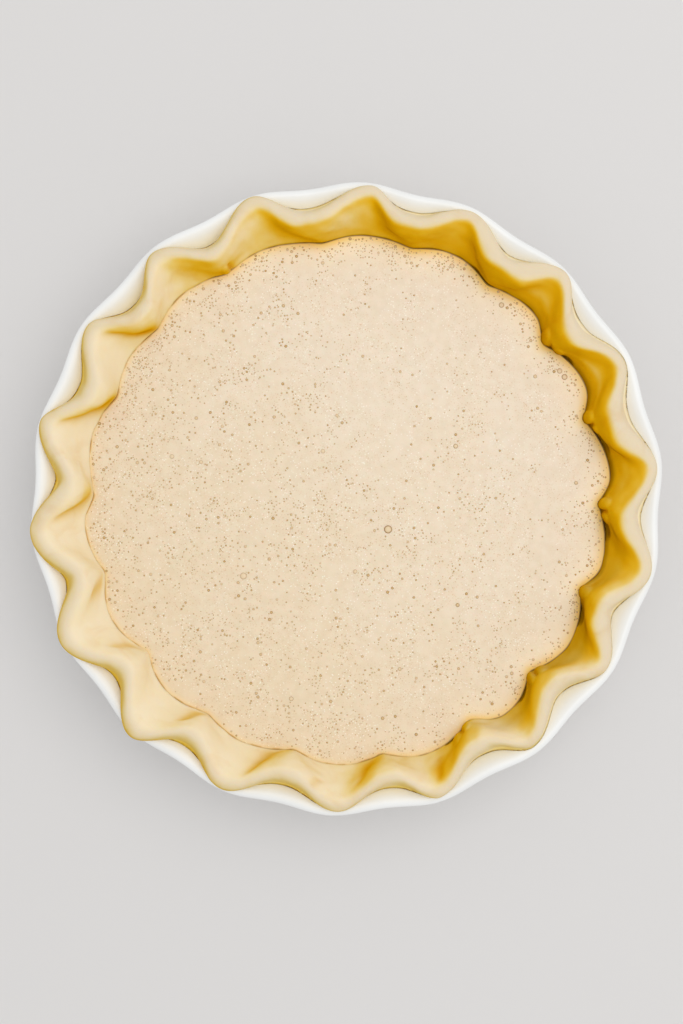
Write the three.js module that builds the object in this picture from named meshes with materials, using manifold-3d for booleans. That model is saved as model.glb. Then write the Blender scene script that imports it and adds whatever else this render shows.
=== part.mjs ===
// An unbaked custard pie in its white ruffled dish, as it goes to the oven.
// Millimetres, +Z up. The origin is the centre of the dish's foot, on the table.
// Three solids, one inside another: the ceramic dish, the raw pastry case that lines it and
// stands up round its rim in finger-pinched flutes, and the liquid custard that fills the case.
import * as THREE from "three";
import Module from "manifold-3d";

const wasm = await Module();
wasm.setup();

// ---------------------------------------------------------------- driving dimensions
const TOUCHING_GAP = 0.3; // between two solids that touch
const FLARE_GAP = 0.5; // the same on the dish's flare, where flat faces cut across its curve

// Dish
const DISH_HEIGHT = 45.6; // table to the top of the lip
const RIM_RADIUS = 138.9; // to the lip's outer edge, halfway between scallop and hollow
const LIP_RADIUS = 2.6; // of the lip's round edge
const LIP_SLOPE = 15; // degrees: how steeply the inside runs up to the lip
const WALL_THICKNESS = 5.8;
const FLOOR_THICKNESS = 6;
const FLOOR_RADIUS = 105; // where the slanted wall would meet the floor
const FLOOR_CURVE = 11; // how far the rounded corner reaches along floor and wall
const SHOULDER = new THREE.Vector2(123.5, 33); // where the straight wall starts to flare
const FOOT_OUTER = 97;
const FOOT_INNER = 87;
const FOOT_RECESS = 1.4; // depth of the shallow recess inside the foot ring
const SCALLOPS = 18;
const SCALLOP_DEPTH = 1.2; // the rim's ruffles, in and out of RIM_RADIUS
const SCALLOP_ANGLE = 2.9; // clock angle of the first scallop
const SCALLOP_START = 100; // radius where the ruffles begin to show in the wall

// Pastry
const PASTRY_THICKNESS = 3.6; // of the rolled sheet on the floor and the wall
const CUSTARD_LEVEL = 33; // height of the custard above the table

// One row for each flute, clockwise. Angles are clock angles in degrees, from +Y seen from above.
//   crest    where the flute is pushed furthest out over the rim, and reach, the radius it gets to
//   scoop    radius of the custard's edge in front of that crest
//   riseIn   how narrow the flute is on the side before its crest, on its inside, and riseOut, on
//            its outside: 1 is an even wave, and more opens only close to the crest
//   fallIn   the same on the side after its crest, inside, and fallOut, outside
//   pinch    where the next pinch pulls the edge in, and back, the radius where it meets the dish
//   nose     radius of the custard's edge at that pinch
//   lean     how many degrees further round the pinch's foot is than its top
const FLUTES = [
  // crest, reach, scoop, riseIn, riseOut, fallIn, fallOut, pinch, back, nose, lean
  [4.5, 137.9, 118.6, 1.2, 1.1, 2.9, 2.1, 13.5, 131, 116.4, 1],
  [23.7, 137.4, 119.8, 1.5, 1, 3, 0.8, 33.8, 130.4, 115.2, -0.5],
  [44, 138.2, 118.6, 3.5, 1, 1.5, 1.8, 55, 130.6, 112.6, -3],
  [63.5, 135.8, 118.8, 0.9, 0.8, 1.6, 1.4, 73.8, 131, 112.7, -2.2],
  [84, 136.9, 118.8, 3.5, 1.1, 0.8, 0.9, 93.8, 131, 113.4, -2.5],
  [103.8, 137.5, 118.4, 1.6, 0.9, 1.4, 0.8, 113.5, 129.4, 112.8, -2.4],
  [123.2, 136.4, 119.3, 2.2, 0.9, 1.6, 1.4, 132.8, 129.2, 113.2, 0.4],
  [143, 135.4, 120, 1.3, 0.8, 1.5, 1.9, 152.4, 129.4, 113.6, -1.5],
  [162.8, 137.2, 119.9, 1.3, 1.1, 1.3, 1.4, 171.4, 130.2, 115.5, 0.6],
  [181.8, 137.4, 119.4, 1.2, 1.3, 1.3, 1.1, 192.4, 130.6, 115, -0.4],
  [203.4, 138.8, 118.4, 1.3, 1.3, 1.2, 1.05, 213.4, 131.4, 114.8, -0.4],
  [222.5, 141.2, 118, 1, 1.2, 1, 0.95, 232.6, 130.4, 112.8, 0],
  [243.3, 140.8, 118.3, 1, 0.8, 1.5, 0.75, 254, 130.4, 113.4, -1],
  [263.5, 139.6, 118, 1.2, 0.5, 1.8, 0.6, 274, 130, 113.4, -3],
  [284, 138.8, 117.6, 1, 0.75, 2.2, 1.75, 293.4, 129.6, 112.8, 0.6],
  [303.6, 136.9, 116.2, 1, 0.85, 2.3, 1.6, 312.8, 128.6, 113.9, -1],
  [321.6, 137.5, 117.8, 1, 1.3, 0.9, 0.8, 331, 128.6, 114.6, 1],
  [342.4, 138.9, 118, 1, 1.1, 2.2, 1.3, 351.8, 130.4, 115.4, 2.6],
].map(([crest, reach, scoop, riseIn, riseOut, fallIn, fallOut, pinch, back, nose, lean]) => ({
  crest, reach, scoop, riseIn, riseOut, fallIn, fallOut, pinch, back, nose, lean,
}));

// The section through the pastry's edge, from the custard's edge up the inside, over the top and
// down the outside. Each point is [share of the way from custard to outer edge, height above the
// custard]. width is 1 where flutes are an even wave, and less where they are wide scoops between
// narrow ridges. inner and outer are how far the flutes' own rise and fall take over from it.
const EDGE_SECTION = [
  { crest: [0, 0], pinch: [0, 0], width: 0.42, inner: 0, outer: 0 },
  { crest: [0.13, 3.6], pinch: [0.03, 3.6], width: 0.5, inner: 0, outer: 0 },
  { crest: [0.27, 7.4], pinch: [0.08, 7.4], width: 0.65, inner: 0.2, outer: 0 },
  { crest: [0.42, 11.4], pinch: [0.16, 11.4], width: 0.85, inner: 0.6, outer: 0 },
  { crest: [0.57, 14.8], pinch: [0.26, 15], width: 1, inner: 1, outer: 0 },
  { crest: [0.7, 16.9], pinch: [0.37, 17.5], width: 1, inner: 0.8, outer: 0.2 },
  { crest: [0.83, 17.4], pinch: [0.53, 18.4], width: 1, inner: 0.3, outer: 0.6 },
  { crest: [0.95, 16.2], pinch: [0.69, 17], width: 1, inner: 0, outer: 0.9 },
  { crest: [1, 14.4], pinch: [0.84, 13], width: 1, inner: 0, outer: 1 },
];
const EDGE_FOOT_AT_CREST = 135; // where a crest's underside leaves the dish, on top of the lip

// Bubbles that stand on the custard: the few that stand out, as [x, y, radius], and then the
// largest of the rest, by a seeded draw
const RING_BUBBLES = [
  [18.6, -13.6, 1.8],
  [-46.3, -34.5, 1.5],
  [97.8, 54.8, 1.3],
  [95.6, 57.5, 1.2],
  [69.5, 87.1, 1.2],
  [47.3, 104.6, 1.1],
  [-78.4, 19.1, 1],
  [-65.4, 16.6, 0.9],
];
const BUBBLES = 34; // in all
const BUBBLE_RADIUS = [0.7, 1.1]; // of the drawn ones
const BUBBLE_HEIGHT = 0.42; // height of a dome as a share of its radius
const BUBBLE_FIELD = 108; // no bubble is drawn further out than this
const BUBBLE_SEED = 7;

// Steps round each flute and scallop
const EDGE_STEPS = 10;
const LINING_STEPS = 5;
const RIM_STEPS = 8;
const WALL_STEPS = 4;

// ---------------------------------------------------------------- shared geometry
const clockPoint = (angle, r, z) => {
  const a = THREE.MathUtils.degToRad(angle);
  return new THREE.Vector3(r * Math.sin(a), r * Math.cos(a), z);
};

// A closed surface from a stack of rings. The rings run from the middle of the underside, out,
// up and in to the middle of the top, or the other way about if downward. A ring is an array of
// points, clockwise from above; a single point closes an end. The longer of two neighbouring
// rings has a whole multiple of the other's points.
function ringStack(rings, downward = false) {
  const position = [];
  const index = [];
  const starts = [];
  for (const ring of rings) {
    starts.push(position.length / 3);
    for (const p of ring) position.push(p.x, p.y, p.z);
  }
  for (let i = 0; i + 1 < rings.length; i++) {
    const below = rings[i].length;
    const above = rings[i + 1].length;
    const many = Math.max(below, above);
    const few = Math.min(below, above);
    const manyStart = below >= above ? starts[i] : starts[i + 1];
    const fewStart = below >= above ? starts[i + 1] : starts[i];
    const turned = below >= above !== downward;
    const add = (a, b, c) => (turned ? index.push(a, c, b) : index.push(a, b, c));
    const share = many / few;
    for (let j = 0; j < many; j++) {
      const corner = Math.floor((j + share / 2) / share) % few;
      const next = Math.floor((j + 1 + share / 2) / share) % few;
      const here = manyStart + j;
      const there = manyStart + ((j + 1) % many);
      add(here, there, fewStart + corner);
      if (next !== corner) add(there, fewStart + next, fewStart + corner);
    }
  }
  const geometry = new THREE.BufferGeometry();
  geometry.setAttribute("position", new THREE.Float32BufferAttribute(position, 3));
  geometry.setIndex(index);
  return geometry;
}

const evenRing = (count, pointAt) =>
  Array.from({ length: count }, (_, i) => pointAt((360 * i) / count));

// ---------------------------------------------------------------- dish
const radial = (degrees, length) =>
  new THREE.Vector2(length, 0).rotateAround(new THREE.Vector2(), THREE.MathUtils.degToRad(degrees));
const wallDirection = SHOULDER.clone().sub(new THREE.Vector2(FLOOR_RADIUS, FLOOR_THICKNESS)).normalize();
const wallOut = new THREE.Vector2(wallDirection.y, -wallDirection.x).multiplyScalar(WALL_THICKNESS);
const lipCentre = new THREE.Vector2(RIM_RADIUS - LIP_RADIUS, DISH_HEIGHT - LIP_RADIUS);
const lipStart = lipCentre.clone().add(radial(90 + LIP_SLOPE, LIP_RADIUS));

// Where a line from p along u meets a line from q along v.
function meeting(p, u, q, v) {
  const t = (q.clone().sub(p).cross(v)) / u.cross(v);
  return p.clone().addScaledVector(u, t);
}

// The dish's inside, from the middle of the floor to the top of the lip.
const flareCorner = meeting(SHOULDER, wallDirection, lipStart, radial(LIP_SLOPE, 1));
const cornerEnd = new THREE.Vector2(FLOOR_RADIUS, FLOOR_THICKNESS).addScaledVector(wallDirection, FLOOR_CURVE);
const inside = new THREE.Path();
inside.moveTo(FLOOR_RADIUS - FLOOR_CURVE, FLOOR_THICKNESS);
inside.quadraticCurveTo(FLOOR_RADIUS, FLOOR_THICKNESS, cornerEnd.x, cornerEnd.y);
inside.lineTo(SHOULDER.x, SHOULDER.y);
inside.quadraticCurveTo(flareCorner.x, flareCorner.y, lipStart.x, lipStart.y);
const CURVE_STEPS = 3; // in each of the two curves
const insidePoints = inside.getPoints(CURVE_STEPS);
const shoulderIndex = CURVE_STEPS + 1;
const lipTop = new THREE.Vector2(lipCentre.x, DISH_HEIGHT);

// How far a scallop moves a point of the dish in or out.
function scallop(r, angle) {
  const grown = THREE.MathUtils.smoothstep(r, SCALLOP_START, RIM_RADIUS - LIP_RADIUS);
  return SCALLOP_DEPTH * grown * Math.cos(THREE.MathUtils.degToRad(SCALLOPS * (angle - SCALLOP_ANGLE)));
}
const dishPoint = (p, angle) => clockPoint(angle, p.x + scallop(p.x, angle), p.y);

function dishOutline() {
  const lip = [];
  const lipSteps = 5;
  const lipEnd = -60; // degrees, where the lip's round edge meets the outside of the wall
  for (let i = 1; i <= lipSteps; i++) {
    const turn = THREE.MathUtils.lerp(lipEnd, 90 + LIP_SLOPE, i / (lipSteps + 1));
    lip.push(lipCentre.clone().add(radial(turn, LIP_RADIUS)));
  }
  const outerShoulder = SHOULDER.clone().add(wallOut);
  const outerFoot = cornerEnd.clone().add(wallOut);
  return [
    new THREE.Vector2(FOOT_INNER - FOOT_RECESS, FOOT_RECESS),
    new THREE.Vector2(FOOT_INNER, 0),
    new THREE.Vector2(FOOT_OUTER, 0),
    new THREE.Vector2(FOOT_OUTER + 3.5, 1.6),
    outerFoot,
    outerShoulder,
    lipCentre.clone().add(radial(lipEnd, LIP_RADIUS + 1.2)),
    ...lip,
    ...[...insidePoints].reverse(),
  ];
}

function makeDish() {
  const rings = dishOutline().map((p) => {
    const steps = p.x > SCALLOP_START + 12 ? RIM_STEPS : WALL_STEPS;
    return evenRing(SCALLOPS * steps, (angle) => dishPoint(p, angle));
  });
  const underside = new THREE.Vector3(0, 0, FOOT_RECESS);
  const floor = new THREE.Vector3(0, 0, FLOOR_THICKNESS);
  return ringStack([[underside], ...rings, [floor]]);
}

// ---------------------------------------------------------------- pastry
// The steps round the edge, so that every crest and every pinch has a step of its own. share is
// 1 at a crest and 0 at a pinch. foldIn and foldOut are how narrow the flute is there, inside
// and outside.
function edgeSteps(steps) {
  const list = [];
  FLUTES.forEach((flute, k) => {
    const after = FLUTES[(k + 1) % FLUTES.length];
    const afterCrest = after.crest + (after.crest < flute.crest ? 360 : 0);
    for (let i = 0; i < steps; i++) {
      const t = i / steps;
      const falling = t < 0.5;
      list.push({
        angle: falling
          ? THREE.MathUtils.lerp(flute.crest, flute.pinch, t * 2)
          : THREE.MathUtils.lerp(flute.pinch, afterCrest, t * 2 - 1),
        share: 0.5 + 0.5 * Math.cos(2 * Math.PI * t),
        foldIn: falling ? flute.fallIn : after.riseIn,
        foldOut: falling ? flute.fallOut : after.riseOut,
        crest: falling ? flute : after,
        pinch: flute,
      });
    }
  });
  return list;
}

// share to a power, but rounded where share is near 0, so that no ridge is a knife edge.
function roundWave(share, power) {
  const soft = 0.03;
  const low = soft ** power;
  return ((share + soft) ** power - low) / ((1 + soft) ** power - low);
}

// The point of the pastry's edge on one row of EDGE_SECTION.
function edgePoint(row, step) {
  const { share, foldIn, foldOut, crest, pinch } = step;
  const atCrest = THREE.MathUtils.lerp(crest.scoop, crest.reach, row.crest[0]);
  const atPinch = THREE.MathUtils.lerp(pinch.nose, pinch.back, row.pinch[0]);
  const power = row.width + row.inner * (foldIn - row.width) + row.outer * (foldOut - row.width);
  const wave = roundWave(share, power);
  const height = THREE.MathUtils.lerp(row.pinch[1], row.crest[1], wave);
  const low = 1 - Math.min(height / EDGE_SECTION[5].pinch[1], 1);
  const angle = step.angle + pinch.lean * (1 - share) * low;
  return { angle, r: THREE.MathUtils.lerp(atPinch, atCrest, wave), z: CUSTARD_LEVEL + height };
}

// A point lifted off the dish's inside by the given height, square to its surface.
function offDish(r, angle, lift) {
  const profile = [new THREE.Vector2(0, FLOOR_THICKNESS), ...insidePoints, lipTop];
  const i = Math.max(profile.findIndex((p) => p.x >= r), 1);
  const from = profile[i - 1];
  const along = profile[i].clone().sub(from).normalize();
  const on = from.clone().addScaledVector(along, (r - from.x) / along.x);
  on.x += scallop(r, angle);
  return { r: on.x - along.y * lift, z: on.y + along.x * lift };
}

const toPoint = ({ angle, r, z }) => clockPoint(angle, r, z);
const edge = edgeSteps(EDGE_STEPS);
const lining = edgeSteps(LINING_STEPS);
const liningLift = TOUCHING_GAP + PASTRY_THICKNESS;
const wetLine = (step) => edgePoint(EDGE_SECTION[0], step);

// Inside of the case below the custard's edge, from the edge down to the floor. inset moves it
// in, for the custard that fills it.
function caseInside(inset) {
  const justUnder = edge.map((step) => {
    const wet = wetLine(step);
    const sheet = offDish(SHOULDER.x - 1.5, step.angle, liningLift);
    const z = CUSTARD_LEVEL - 5;
    return clockPoint(wet.angle, Math.min(THREE.MathUtils.lerp(sheet.r, wet.r, 0.5), sheet.r) - inset, z);
  });
  const sheetRadii = insidePoints.slice(0, shoulderIndex).reverse().map((p) => p.x);
  const sheet = sheetRadii.map((radius) =>
    lining.map((step) => {
      const p = offDish(radius, step.angle, liningLift + inset);
      return clockPoint(step.angle, p.r, p.z);
    }),
  );
  return [justUnder, ...sheet];
}

function makePastry() {
  // Where the underside leaves the dish, as a radius on the dish's own unruffled profile.
  const foot = ({ share, foldOut, pinch }) =>
    THREE.MathUtils.lerp(pinch.back, EDGE_FOOT_AT_CREST, roundWave(share, foldOut));
  const under = (step, r, lift) => {
    const p = offDish(r, step.angle, lift);
    return clockPoint(step.angle, p.r, p.z);
  };
  const sheetUnder = insidePoints
    .slice(0, shoulderIndex)
    .map((p) => lining.map((step) => under(step, p.x, TOUCHING_GAP)));
  const flareUnder = [...insidePoints.slice(shoulderIndex), { x: EDGE_FOOT_AT_CREST }].map((p) => {
    const share = (p.x - SHOULDER.x) / (EDGE_FOOT_AT_CREST - SHOULDER.x);
    return edge.map((step) => under(step, THREE.MathUtils.lerp(SHOULDER.x, foot(step), share), FLARE_GAP));
  });
  const over = [...EDGE_SECTION].reverse().map((row) => edge.map((step) => toPoint(edgePoint(row, step))));
  return ringStack([
    [new THREE.Vector3(0, 0, FLOOR_THICKNESS + TOUCHING_GAP)],
    ...sheetUnder,
    ...flareUnder,
    ...over,
    ...caseInside(0),
    [new THREE.Vector3(0, 0, FLOOR_THICKNESS + liningLift)],
  ]);
}

// ---------------------------------------------------------------- custard
// A seeded draw, so that the bubbles are the same each time.
function seededDraw(seed) {
  let state = seed;
  return () => {
    state = (state * 1664525 + 1013904223) % 4294967296;
    return state / 4294967296;
  };
}

function solidOf(geometry) {
  return new wasm.Manifold(
    new wasm.Mesh({
      numProp: 3,
      vertProperties: new Float32Array(geometry.getAttribute("position").array),
      triVerts: new Uint32Array(geometry.index.array),
    }),
  );
}

function geometryOf(solid) {
  const mesh = solid.getMesh();
  const geometry = new THREE.BufferGeometry();
  geometry.setAttribute("position", new THREE.BufferAttribute(new Float32Array(mesh.vertProperties), 3));
  geometry.setIndex(new THREE.BufferAttribute(new Uint32Array(mesh.triVerts), 1));
  return geometry;
}

// A bubble: a low dome with a short skirt that sinks into the custard.
function bubble(x, y, radius) {
  const corners = 7;
  const ring = (share, z) => evenRing(corners, (angle) => clockPoint(angle, radius * share, z));
  const height = radius * BUBBLE_HEIGHT;
  const dome = ringStack([
    [new THREE.Vector3(0, 0, -height)],
    ring(1, -height),
    ring(1, 0),
    ring(0.66, height * 0.75),
    [new THREE.Vector3(0, 0, height)],
  ]);
  return dome.translate(x, y, CUSTARD_LEVEL);
}

function placeBubbles() {
  const draw = seededDraw(BUBBLE_SEED);
  const placed = [...RING_BUBBLES];
  while (placed.length < BUBBLES) {
    const angle = 360 * draw();
    const r = BUBBLE_FIELD * Math.sqrt(draw());
    const radius = THREE.MathUtils.lerp(...BUBBLE_RADIUS, draw() ** 2);
    const p = clockPoint(angle, r, 0);
    const free = placed.every(([x, y, other]) => Math.hypot(p.x - x, p.y - y) > other + radius + 1);
    if (free) placed.push([p.x, p.y, radius]);
  }
  return placed;
}

function makeCustard() {
  const top = edge.map((step) => {
    const wet = wetLine(step);
    return clockPoint(wet.angle, wet.r - TOUCHING_GAP, CUSTARD_LEVEL);
  });
  const middle = new THREE.Vector3(0, 0, CUSTARD_LEVEL);
  const bottom = new THREE.Vector3(0, 0, FLOOR_THICKNESS + liningLift + TOUCHING_GAP);
  const body = ringStack([[middle], top, ...caseInside(TOUCHING_GAP), [bottom]], true);
  let solid = solidOf(body);
  for (const [x, y, radius] of placeBubbles()) solid = solid.add(solidOf(bubble(x, y, radius)));
  return geometryOf(solid);
}

// ---------------------------------------------------------------- the pie
const glaze = new THREE.MeshStandardMaterial({ color: 0xf4f2ee, roughness: 0.12, metalness: 0 });
const dough = new THREE.MeshStandardMaterial({ color: 0xecd39a, roughness: 0.55, metalness: 0 });
const custard = new THREE.MeshStandardMaterial({ color: 0xecd9bd, roughness: 0.3, metalness: 0 });

function piece(name, geometry, material) {
  const mesh = new THREE.Mesh(geometry, material);
  mesh.name = name;
  return mesh;
}

const pie = new THREE.Group();
pie.name = "custard_pie";
pie.add(piece("dish", makeDish(), glaze));
pie.add(piece("pastry_case", makePastry(), dough));
pie.add(piece("custard", makeCustard(), custard));

export default pie;
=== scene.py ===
"""The looks of the unbaked custard pie: its glazed dish, raw pastry and bubbly custard.

Shapes are worked out in millimetres from the same driving dimensions as the solids, and
mesh_object() turns them into metres. Angles round the pie are clock angles in degrees, from +Y
seen from above. Surfaces are stacks of rings: arrays of (ring, step round the pie, xyz).
"""

import math

import bpy
import numpy as np
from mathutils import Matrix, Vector, noise


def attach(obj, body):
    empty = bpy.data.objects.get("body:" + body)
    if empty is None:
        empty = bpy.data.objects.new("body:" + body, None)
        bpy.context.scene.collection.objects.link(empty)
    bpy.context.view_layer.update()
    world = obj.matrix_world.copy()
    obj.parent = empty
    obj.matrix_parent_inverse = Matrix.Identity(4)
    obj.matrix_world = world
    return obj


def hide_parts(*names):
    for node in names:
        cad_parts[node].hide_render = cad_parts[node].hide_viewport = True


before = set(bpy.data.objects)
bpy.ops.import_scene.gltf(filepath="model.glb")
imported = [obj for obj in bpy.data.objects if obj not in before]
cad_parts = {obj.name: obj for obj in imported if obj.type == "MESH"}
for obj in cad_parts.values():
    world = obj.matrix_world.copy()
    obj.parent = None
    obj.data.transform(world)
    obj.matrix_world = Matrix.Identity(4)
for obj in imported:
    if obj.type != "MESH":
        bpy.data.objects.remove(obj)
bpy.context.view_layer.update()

MM = 0.001

# ---------------------------------------------------------------- driving dimensions, in mm
TOUCHING_GAP = 0.3  # between two bodies that touch
RESTING_GAP = 0.05  # the same under the pastry's edge, where it lies on the dish

# Dish
DISH_HEIGHT = 45.6  # table to the top of the lip
RIM_RADIUS = 138.9  # to the lip's outer edge, halfway between scallop and hollow
LIP_RADIUS = 2.6  # of the lip's round edge
LIP_SLOPE = 15  # degrees: how steeply the inside runs up to the lip
LIP_END = -60  # degrees: where the lip's round edge ends, underneath
WALL_THICKNESS = 5.8
FLOOR_THICKNESS = 6
FLOOR_RADIUS = 105  # where the slanted wall would meet the floor
FLOOR_CURVE = 11  # how far the rounded corner reaches along floor and wall
SHOULDER = np.array([123.5, 33.0])  # where the straight wall starts to flare
FOOT_OUTER = 97
FOOT_INNER = 87
FOOT_RECESS = 1.4  # depth of the shallow recess inside the foot ring
SCALLOPS = 18
SCALLOP_DEPTH = 1.2  # the rim's ruffles, in and out of RIM_RADIUS
SCALLOP_ANGLE = 2.9  # clock angle of the first scallop
SCALLOP_START = 100  # radius where the ruffles begin to show in the wall

# Pastry
PASTRY_THICKNESS = 3.6  # of the rolled sheet on the floor and the wall
CUSTARD_LEVEL = 33  # height of the custard above the table

# One row for each flute:
#   crest angle and reach, the radius the flute gets to; scoop, the radius of the custard's edge
#   rise_in and rise_out, how narrow the flute is on the side before its crest, on its inside and
#   on its outside, and fall_in and fall_out, on the side after it: 1 is an even wave
#   the next pinch's angle; back, where it meets the dish; nose, the custard's edge there; and
#   lean, how many degrees further round its foot is than its top
CREST, REACH, SCOOP, RISE_IN, RISE_OUT, FALL_IN, FALL_OUT, PINCH, BACK, NOSE, LEAN = range(11)
FLUTES = np.array([
    [4.5, 137.9, 118.6, 1.2, 1.1, 2.9, 2.1, 13.5, 131.0, 116.4, 1.0],
    [23.7, 137.4, 119.8, 1.5, 1.0, 3.0, 0.8, 33.8, 130.4, 115.2, -0.5],
    [44.0, 138.2, 118.6, 3.5, 1.0, 1.5, 1.8, 55.0, 130.6, 112.6, -3.0],
    [63.5, 135.8, 118.8, 0.9, 0.8, 1.6, 1.4, 73.8, 131.0, 112.7, -2.2],
    [84.0, 136.9, 118.8, 3.5, 1.1, 0.8, 0.9, 93.8, 131.0, 113.4, -2.5],
    [103.8, 137.5, 118.4, 1.6, 0.9, 1.4, 0.8, 113.5, 129.4, 112.8, -2.4],
    [123.2, 136.4, 119.3, 2.2, 0.9, 1.6, 1.4, 132.8, 129.2, 113.2, 0.4],
    [143.0, 135.4, 120.0, 1.3, 0.8, 1.5, 1.9, 152.4, 129.4, 113.6, -1.5],
    [162.8, 137.2, 119.9, 1.3, 1.1, 1.3, 1.4, 171.4, 130.2, 115.5, 0.6],
    [181.8, 137.4, 119.4, 1.2, 1.3, 1.3, 1.1, 192.4, 130.6, 115.0, -0.4],
    [203.4, 138.8, 118.4, 1.3, 1.3, 1.2, 1.05, 213.4, 131.4, 114.8, -0.4],
    [222.5, 141.2, 118.0, 1.0, 1.2, 1.0, 0.95, 232.6, 130.4, 112.8, 0.0],
    [243.3, 140.8, 118.3, 1.0, 0.8, 1.5, 0.75, 254.0, 130.4, 113.4, -1.0],
    [263.5, 139.6, 118.0, 1.2, 0.5, 1.8, 0.6, 274.0, 130.0, 113.4, -3.0],
    [284.0, 138.8, 117.6, 1.0, 0.75, 2.2, 1.75, 293.4, 129.6, 112.8, 0.6],
    [303.6, 136.9, 116.2, 1.0, 0.85, 2.3, 1.6, 312.8, 128.6, 113.9, -1.0],
    [321.6, 137.5, 117.8, 1.0, 1.3, 0.9, 0.8, 331.0, 128.6, 114.6, 1.0],
    [342.4, 138.9, 118.0, 1.0, 1.1, 2.2, 1.3, 351.8, 130.4, 115.4, 2.6],
])

# The pastry's edge, from the custard's edge up the inside, over the top and down the outside:
# share of the way to the outer edge and height above the custard at a crest, the same at a pinch,
# width (1 where flutes are an even wave, less where they are wide scoops between narrow ridges)
# and inner and outer, how far the flutes' own rise and fall take over from that width.
AT_CREST, CREST_HEIGHT, AT_PINCH, PINCH_HEIGHT, WIDTH, INNER, OUTER = range(7)
EDGE_SECTION = np.array([
    [0.00, 0.0, 0.00, 0.0, 0.42, 0.0, 0.0],
    [0.13, 3.6, 0.03, 3.6, 0.50, 0.0, 0.0],
    [0.27, 7.4, 0.08, 7.4, 0.65, 0.2, 0.0],
    [0.42, 11.4, 0.16, 11.4, 0.85, 0.6, 0.0],
    [0.57, 14.8, 0.26, 15.0, 1.00, 1.0, 0.0],
    [0.70, 16.9, 0.37, 17.5, 1.00, 0.8, 0.2],
    [0.83, 17.4, 0.53, 18.4, 1.00, 0.3, 0.6],
    [0.95, 16.2, 0.69, 17.0, 1.00, 0.0, 0.9],
    [1.00, 14.4, 0.84, 13.0, 1.00, 0.0, 1.0],
])
RIDGE_ROW = 6  # the row of EDGE_SECTION along the top: past it, it looks like the outside
INSIDE_ROW = RIDGE_ROW - 1.5  # up to this row it looks like the inside
LEAN_TOP = EDGE_SECTION[5, PINCH_HEIGHT]  # height above the custard where a pinch stops leaning
EDGE_FOOT_AT_CREST = 135  # where a crest's underside leaves the dish, on top of the lip

# Lumps all over the dough that shows: height and size in mm, and seed
LUMPS = [(0.45, 11, 1), (0.2, 4.5, 2)]

# Lumps that the fingertips left at the foot of the pinches, and hollows under the folds beside
# them: clock angle, height above the custard, half width, half height and how far it stands out
FINGER_MARKS = [
    (50.9, 3.0, 3.2, 6.0, 1.2),
    (55.2, 3.4, 2.8, 5.4, 1.1),
    (71.4, 3.0, 3.4, 6.6, 1.3),
    (74.4, 6.2, 2.4, 3.6, 0.7),
    (91.0, 3.2, 2.9, 6.6, 1.3),
    (94.2, 4.0, 2.8, 5.6, 1.2),
    (111.4, 3.0, 3.4, 6.6, 1.0),
    (131.2, 3.2, 2.6, 6.0, 0.9),
    (134.2, 3.6, 2.8, 6.0, 1.1),
    (152.4, 3.2, 2.8, 5.2, 1.0),
    (155.2, 4.4, 2.6, 4.6, 0.9),
    (332.4, 4.0, 2.6, 5.0, 0.8),
    (31.0, 0.4, 9.0, 1.4, -0.5),
    (57.6, 0.4, 4.0, 1.8, -0.7),
    (77.8, 0.8, 6.6, 3.2, -1.0),
    (96.6, 0.8, 5.8, 3.8, -1.0),
    (116.4, 0.8, 5.8, 3.2, -0.9),
    (138.0, 0.4, 4.4, 1.8, -0.5),
    (156.8, 0.4, 3.6, 1.4, -0.4),
]

# Creases where the sheet folded over itself: clock angle, height above the custard and half width
# where each starts, the same where it ends, its depth, and how golden its painted shade is
CREASES = [
    (53.4, 0.0, 0.8, 53.0, 7.0, 0.7, 0.8, 0.6),
    (73.0, 0.0, 0.8, 73.2, 8.0, 0.7, 0.8, 0.6),
    (92.6, 0.5, 1.0, 92.9, 9.0, 0.8, 1.0, 0.8),
    (132.6, 0.5, 1.0, 132.9, 8.0, 0.8, 0.9, 0.6),
    (153.8, 0.0, 0.8, 153.4, 7.0, 0.8, 0.7, 0.5),
    (160.4, 4.0, 2.4, 161.6, 15.0, 1.8, 0.4, 0.6),
    (174.8, 0.5, 3.6, 177.8, 14.0, 2.4, 0.5, 0.5),
    (185.5, 11.0, 1.8, 187.0, 18.0, 1.8, 0.5, 0.4),
    (196.2, 0.5, 4.2, 200.0, 15.0, 2.0, 0.9, 0.8),
    (214.6, 1.0, 3.4, 217.0, 12.0, 2.0, 0.6, 0.8),
    (235.8, 1.5, 2.6, 237.8, 12.0, 2.0, 0.4, 0.6),
    (251.0, 2.0, 4.6, 249.4, 12.0, 2.6, 0.5, 0.7),
    (270.2, 1.0, 5.6, 266.0, 15.0, 2.2, 0.7, 0.6),
    (291.8, 0.0, 6.0, 285.2, 15.0, 2.4, 0.7, 0.6),
    (310.6, 0.0, 5.0, 304.4, 15.0, 2.4, 0.7, 0.6),
    (333.4, 0.0, 1.2, 333.2, 8.0, 1.0, 0.9, 0.9),
]
CREASE_FADE = 0.15  # share of its length over which a crease fades in and out at its ends

# Spots of painted light (+) and painted shade (-) on the inside, beyond what its slope alone
# paints: clock angle and half width in degrees, height above the custard and half height, and how
# much at a crest
SHADINGS = [
    (62, 30, 8.6, 2.6, 0.55),
    (0, 32, 16, 1.6, -0.3),
    (132, 18, 15.5, 3, 0.25),
    (147.5, 4, 9, 6, 0.35),
    (161, 1.8, 12, 4, -0.4),
    (175.4, 1.6, 5, 5, -0.5),
    (271.6, 2.2, 7, 5, -1.3),
    (292.4, 2.4, 4, 6, -1.6),
    (310.6, 1.9, 7, 4.5, -1.3),
    (332.6, 2.0, 5, 5, -1.0),
    (358.5, 4.5, 9, 6, 0.3),
]
SHADING_AT_PINCH = 0.3  # of what it is at a crest

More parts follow.
